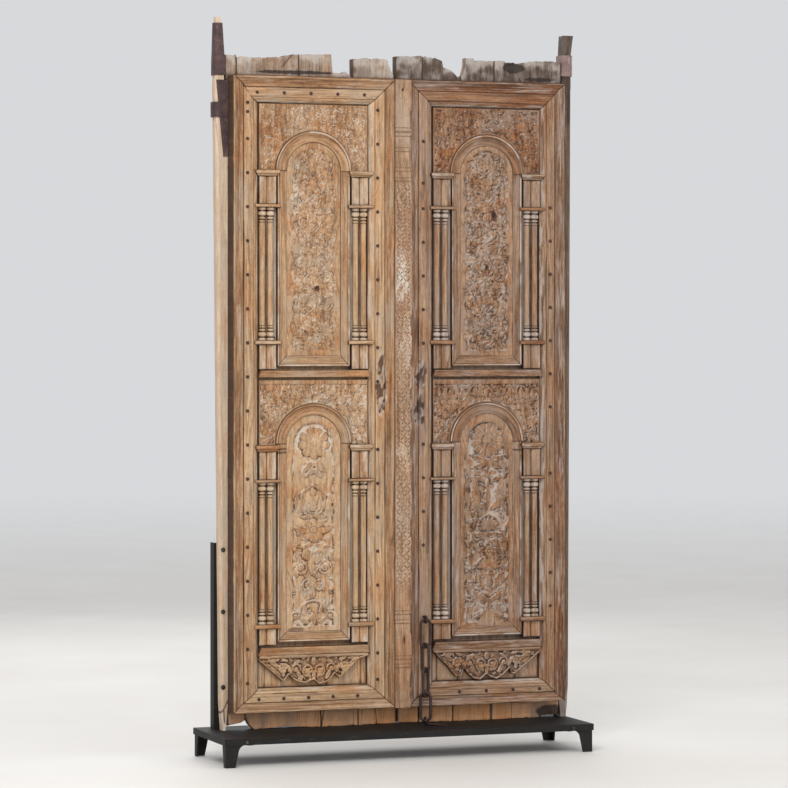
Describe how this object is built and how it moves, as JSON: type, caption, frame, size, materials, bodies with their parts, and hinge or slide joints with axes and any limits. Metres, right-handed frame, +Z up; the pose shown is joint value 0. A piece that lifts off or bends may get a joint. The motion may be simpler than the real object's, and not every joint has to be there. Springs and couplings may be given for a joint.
{
  "type": "carved double door leaf pair on display stand",
  "caption": "Pair of closed carved wooden door leaves with arched panels, colonettes, pivot posts and a hanging iron chain, bolted to a low black steel stand.",
  "frame": {"origin": "on the floor under the middle of the bounding box", "axes": "+X across the door to the right as seen from the front, +Y away from the viewer through the door, +Z up"},
  "size_m": [1.3098, 0.365, 2.424],
  "materials": {
    "left_leaf_wood": "worn, waxed, with lime in the carving",
    "right_leaf_wood": "worn, grey-white residue in the carving",
    "astragal_wood": "pale, limed",
    "left_post_wood": "pale, dry",
    "right_post_wood": "grey, weathered",
    "ledge_wood": "plain sawn",
    "sheath_iron": "rusted purple-brown",
    "nail_iron": "dark rust",
    "chain_iron": "rusted",
    "black_steel": "satin black",
    "bolt_steel": "dark, worn"
  },
  "bodies": {
    "door": {"astragal": "astragal_wood", "chain_staple": "chain_iron", "left_apron": "left_leaf_wood", "left_base_rail": "left_leaf_wood", "left_battens": "ledge_wood", "left_bottom_rail": "left_leaf_wood", "left_colonettes": "left_leaf_wood", "left_cornices": "left_leaf_wood", "left_ground": "left_leaf_wood", "left_lower_field": "left_leaf_wood", "left_lower_spandrel": "left_leaf_wood", "left_lower_surround": "left_leaf_wood", "left_mid_rail": "left_leaf_wood", "left_nails": "nail_iron", "left_pilaster_blocks": "left_leaf_wood", "left_planks": "left_leaf_wood", "left_post": "left_post_wood", "left_post_sheath": "sheath_iron", "left_post_strap": "sheath_iron", "left_stile_inner": "left_leaf_wood", "left_stile_outer": "left_leaf_wood", "left_top_rail": "left_leaf_wood", "left_upper_field": "left_leaf_wood", "left_upper_spandrel": "left_leaf_wood", "left_upper_surround": "left_leaf_wood", "right_apron": "right_leaf_wood", "right_base_rail": "right_leaf_wood", "right_battens": "ledge_wood", "right_bottom_rail": "right_leaf_wood", "right_colonettes": "right_leaf_wood", "right_cornices": "right_leaf_wood", "right_ground": "right_leaf_wood", "right_lower_field": "right_leaf_wood", "right_lower_spandrel": "right_leaf_wood", "right_lower_surround": "right_leaf_wood", "right_mid_rail": "right_leaf_wood", "right_nails": "nail_iron", "right_pilaster_blocks": "right_leaf_wood", "right_planks": "right_leaf_wood", "right_post": "right_post_wood", "right_post_sheath": "sheath_iron", "right_stile_inner": "right_leaf_wood", "right_stile_outer": "right_leaf_wood", "right_top_rail": "right_leaf_wood", "right_upper_field": "right_leaf_wood", "right_upper_spandrel": "right_leaf_wood", "right_upper_surround": "right_leaf_wood", "stand_bolts": "bolt_steel", "stand_foot_back_left": "black_steel", "stand_foot_back_right": "black_steel", "stand_foot_front_left": "black_steel", "stand_foot_front_right": "black_steel", "stand_plate": "black_steel", "stand_upright_left": "black_steel", "stand_upright_right": "black_steel"},
    "chain_link_1": {"chain_link_1": "chain_iron"},
    "chain_link_2": {"chain_link_2": "chain_iron"},
    "chain_link_3": {"chain_link_3": "chain_iron"},
    "chain_link_4": {"chain_link_4": "chain_iron"},
    "hook": {"chain_hook": "chain_iron"}
  },
  "joints": [
    {"name": "link_1_swing", "type": "hinge", "parent": "door", "child": "chain_link_1", "pos_m": [0.08943, -0.0187, 0.4422], "axis": [-1, 0, 0], "range_deg": [0, 80]},
    {"name": "link_2_swing", "type": "hinge", "parent": "chain_link_1", "child": "chain_link_2", "pos_m": [0.08943, -0.0187, 0.3507], "axis": [-1, 0, 0], "range_deg": [0, 45]},
    {"name": "link_3_swing", "type": "hinge", "parent": "chain_link_2", "child": "chain_link_3", "pos_m": [0.08943, -0.0187, 0.28], "axis": [-0.766, -0.6428, 0], "range_deg": [0, 45]},
    {"name": "link_4_swing", "type": "hinge", "parent": "chain_link_3", "child": "chain_link_4", "pos_m": [0.08943, -0.0187, 0.1989], "axis": [-0.9063, 0.4226, 0], "range_deg": [0, 45]},
    {"name": "hook_lift", "type": "hinge", "parent": "chain_link_4", "child": "hook", "pos_m": [0.08943, -0.0187, 0.1074], "axis": [-0.9063, 0.4226, 0], "range_deg": [0, 60]}
  ]
}
